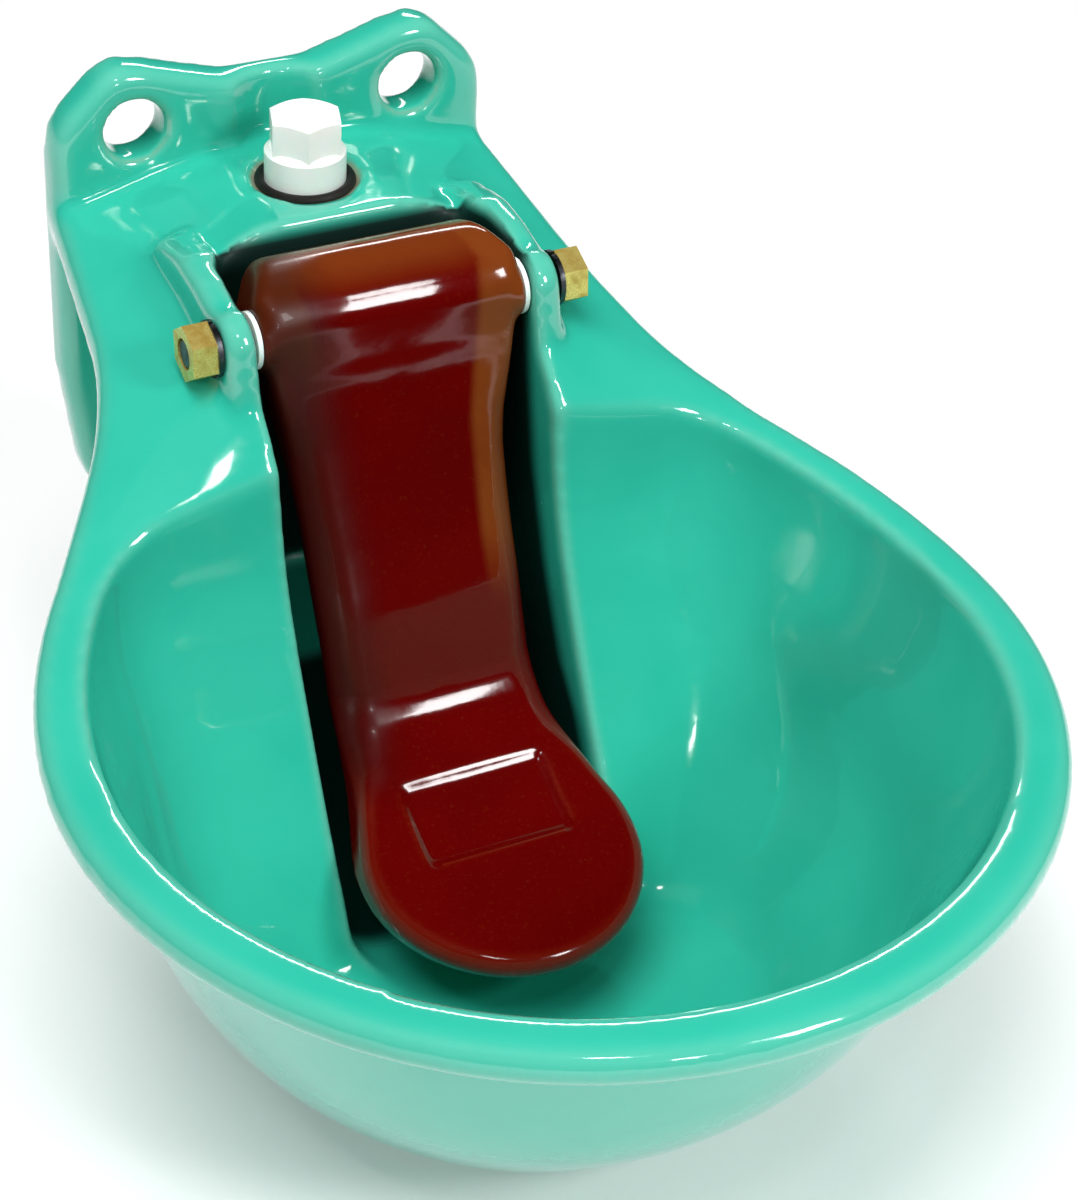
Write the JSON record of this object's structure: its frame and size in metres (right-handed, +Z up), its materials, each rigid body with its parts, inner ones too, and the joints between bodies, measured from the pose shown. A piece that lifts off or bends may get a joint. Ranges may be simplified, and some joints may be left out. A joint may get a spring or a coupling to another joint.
{
  "type": "livestock drinking bowl",
  "caption": "Enamelled cast drinking bowl for a wall: pressing its tongue opens a spring-closed inlet valve that fills the bowl.",
  "frame": {"origin": "on the wall, midway between the two wall bolt holes", "axes": "+Y into the wall, so the bowl stands out along -Y; +Z up; +X to the right as seen from the front"},
  "size_m": [0.2424, 0.3032, 0.195],
  "materials": {
    "teal_enamel": "glossy vitreous enamel on cast iron",
    "oxblood_enamel": "glossy vitreous enamel on cast iron",
    "steel": "dull zinc plated",
    "stainless": "ground stainless steel",
    "brass": "turned and hex-drawn brass",
    "white_plastic": "moulded, slightly see-through white",
    "rubber": "matt"
  },
  "bodies": {
    "bowl": {"bowl_casting": "teal_enamel", "pivot_pin": "steel", "pivot_nut_left": "brass", "pivot_nut_right": "brass", "lock_washer_left": "steel", "lock_washer_right": "steel", "top_plug": "white_plastic", "plug_o_ring": "rubber", "valve_body": "brass", "body_gasket": "rubber", "flow_nozzle": "white_plastic", "spring_cap": "brass", "strainer": "white_plastic"},
    "tongue": {"tongue": "oxblood_enamel", "bush_left": "white_plastic", "bush_right": "white_plastic"},
    "valve_plunger": {"valve_stem": "stainless", "seat_washer": "rubber", "valve_disc": "brass", "return_spring": "stainless"}
  },
  "joints": [
    {"name": "tongue_pivot", "type": "hinge", "parent": "bowl", "child": "tongue", "pos_m": [0, -0.0823, -0.0233], "axis": [1, 0, 0], "range_deg": [0, 6.5], "stiffness_Nm_per_rad": 4, "springref_deg": -8.59},
    {"name": "valve_push", "type": "slide", "parent": "bowl", "child": "valve_plunger", "axis": [0, 1, 0], "range_m": [0, 0.0026], "deforming": ["return_spring"]}
  ],
  "couplings": [
    {"joint": "valve_push", "follows": "tongue_pivot", "m_per_rad": 0.0227}
  ]
}
